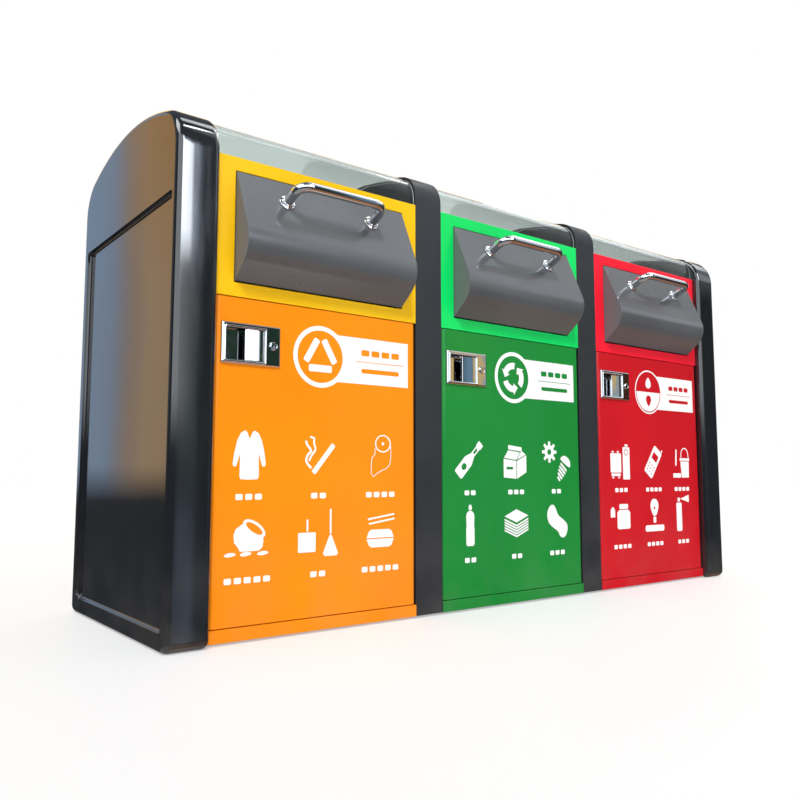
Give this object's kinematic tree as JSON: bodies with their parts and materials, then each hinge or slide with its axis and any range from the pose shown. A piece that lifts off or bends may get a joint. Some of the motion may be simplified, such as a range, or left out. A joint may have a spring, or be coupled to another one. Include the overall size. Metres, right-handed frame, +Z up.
{
  "type": "recycling bin station",
  "caption": "Free-standing recycling station: coloured locked doors and tipping hoppers between dark dividers and glossy rounded end shells, under a clear arched roof.",
  "frame": {"origin": "on the ground, under the middle of the whole station from the handles' front to the end shells' rear", "axes": "+Z up, fronts face -Y, +X to the right seen from the front"},
  "size_m": [2.204, 0.7948, 1.292],
  "materials": {
    "shell_gloss_black": "glossy moulded",
    "divider_dark_grey": "matte powder coat",
    "hopper_grey": "satin powder coat",
    "chrome": "polished",
    "plain_steel": "plain",
    "galvanised_steel": "galvanised",
    "roof_clear": "clear sheet",
    "foot_rubber": "plain",
    "fascia_paint_left": "gloss yellow",
    "door_paint_left": "gloss orange",
    "fascia_paint_middle": "gloss bright green",
    "door_paint_middle": "gloss green",
    "fascia_paint_right": "gloss bright red",
    "door_paint_right": "gloss red"
  },
  "bodies": {
    "station": {"end_shell_left": "shell_gloss_black", "divider_left": "divider_dark_grey", "foot_left_front": "foot_rubber", "foot_left_rear": "foot_rubber", "end_shell_right": "shell_gloss_black", "divider_right": "divider_dark_grey", "foot_right_front": "foot_rubber", "foot_right_rear": "foot_rubber", "base_frame": "galvanised_steel", "kick_strip_left": "door_paint_left", "fascia_left": "fascia_paint_left", "back_panel_left": "divider_dark_grey", "top_deck_left": "galvanised_steel", "roof_left": "roof_clear", "inner_bin_left": "galvanised_steel", "door_hinge_rod_left": "plain_steel", "hopper_hinge_rod_left": "plain_steel", "kick_strip_middle": "door_paint_middle", "fascia_middle": "fascia_paint_middle", "back_panel_middle": "divider_dark_grey", "top_deck_middle": "galvanised_steel", "roof_middle": "roof_clear", "inner_bin_middle": "galvanised_steel", "door_hinge_rod_middle": "plain_steel", "hopper_hinge_rod_middle": "plain_steel", "kick_strip_right": "door_paint_right", "fascia_right": "fascia_paint_right", "back_panel_right": "divider_dark_grey", "top_deck_right": "galvanised_steel", "roof_right": "roof_clear", "inner_bin_right": "galvanised_steel", "door_hinge_rod_right": "plain_steel", "hopper_hinge_rod_right": "plain_steel"},
    "door_left": {"door_left": "door_paint_left", "latch_housing_left": "chrome"},
    "paddle_left": {"latch_paddle_left": "chrome"},
    "lock_left": {"lock_barrel_left": "chrome", "lock_crank_left": "plain_steel"},
    "bolt_left": {"lock_bolt_left": "plain_steel"},
    "hopper_left": {"hopper_front_left": "hopper_grey", "hopper_guard_left": "galvanised_steel", "pull_handle_left": "chrome"},
    "door_middle": {"door_middle": "door_paint_middle", "latch_housing_middle": "chrome"},
    "paddle_middle": {"latch_paddle_middle": "chrome"},
    "lock_middle": {"lock_barrel_middle": "chrome", "lock_crank_middle": "plain_steel"},
    "bolt_middle": {"lock_bolt_middle": "plain_steel"},
    "hopper_middle": {"hopper_front_middle": "hopper_grey", "hopper_guard_middle": "galvanised_steel", "pull_handle_middle": "chrome"},
    "door_right": {"door_right": "door_paint_right", "latch_housing_right": "chrome"},
    "paddle_right": {"latch_paddle_right": "chrome"},
    "lock_right": {"lock_barrel_right": "chrome", "lock_crank_right": "plain_steel"},
    "bolt_right": {"lock_bolt_right": "plain_steel"},
    "hopper_right": {"hopper_front_right": "hopper_grey", "hopper_guard_right": "galvanised_steel", "pull_handle_right": "chrome"}
  },
  "joints": [
    {"name": "door_swing_left", "type": "hinge", "parent": "station", "child": "door_left", "pos_m": [-0.4085, -0.28255, 0.42], "axis": [0, 0, 1], "range_deg": [0, 95]},
    {"name": "hopper_tip_left", "type": "hinge", "parent": "station", "child": "hopper_left", "pos_m": [-0.694, -0.28655, 0.86], "axis": [1, 0, 0], "range_deg": [0, 45], "stiffness_Nm_per_rad": 14, "springref_deg": -20.05},
    {"name": "paddle_pull_left", "type": "hinge", "parent": "door_left", "child": "paddle_left", "pos_m": [-0.8696, -0.29555, 0.693], "axis": [0, 0, 1], "range_deg": [0, 35], "stiffness_Nm_per_rad": 0.25, "springref_deg": -11.46},
    {"name": "lock_turn_left", "type": "hinge", "parent": "door_left", "child": "lock_left", "pos_m": [-0.841, -0.29455, 0.695], "axis": [0, 1, 0], "range_deg": [0, 90]},
    {"name": "bolt_slide_left", "type": "slide", "parent": "door_left", "child": "bolt_left", "axis": [-1, 0, 0], "range_m": [0, 0.01413]},
    {"name": "door_swing_middle", "type": "hinge", "parent": "station", "child": "door_middle", "pos_m": [0.2855, -0.28255, 0.42], "axis": [0, 0, 1], "range_deg": [0, 95]},
    {"name": "hopper_tip_middle", "type": "hinge", "parent": "station", "child": "hopper_middle", "pos_m": [0, -0.28655, 0.86], "axis": [1, 0, 0], "range_deg": [0, 45], "stiffness_Nm_per_rad": 14, "springref_deg": -20.05},
    {"name": "paddle_pull_middle", "type": "hinge", "parent": "door_middle", "child": "paddle_middle", "pos_m": [-0.1756, -0.29555, 0.693], "axis": [0, 0, 1], "range_deg": [0, 35], "stiffness_Nm_per_rad": 0.25, "springref_deg": -11.46},
    {"name": "lock_turn_middle", "type": "hinge", "parent": "door_middle", "child": "lock_middle", "pos_m": [-0.147, -0.29455, 0.695], "axis": [0, 1, 0], "range_deg": [0, 90]},
    {"name": "bolt_slide_middle", "type": "slide", "parent": "door_middle", "child": "bolt_middle", "axis": [-1, 0, 0], "range_m": [0, 0.01413]},
    {"name": "door_swing_right", "type": "hinge", "parent": "station", "child": "door_right", "pos_m": [0.9795, -0.28255, 0.42], "axis": [0, 0, 1], "range_deg": [0, 90]},
    {"name": "hopper_tip_right", "type": "hinge", "parent": "station", "child": "hopper_right", "pos_m": [0.694, -0.28655, 0.86], "axis": [1, 0, 0], "range_deg": [0, 45], "stiffness_Nm_per_rad": 14, "springref_deg": -20.05},
    {"name": "paddle_pull_right", "type": "hinge", "parent": "door_right", "child": "paddle_right", "pos_m": [0.5184, -0.29555, 0.693], "axis": [0, 0, 1], "range_deg": [0, 35], "stiffness_Nm_per_rad": 0.25, "springref_deg": -11.46},
    {"name": "lock_turn_right", "type": "hinge", "parent": "door_right", "child": "lock_right", "pos_m": [0.547, -0.29455, 0.695], "axis": [0, 1, 0], "range_deg": [0, 90]},
    {"name": "bolt_slide_right", "type": "slide", "parent": "door_right", "child": "bolt_right", "axis": [-1, 0, 0], "range_m": [0, 0.01413]}
  ],
  "couplings": [
    {"joint": "lock_turn_left", "follows": "bolt_slide_left", "rad_per_m": 111.1},
    {"joint": "lock_turn_middle", "follows": "bolt_slide_middle", "rad_per_m": 111.1},
    {"joint": "lock_turn_right", "follows": "bolt_slide_right", "rad_per_m": 111.1}
  ]
}
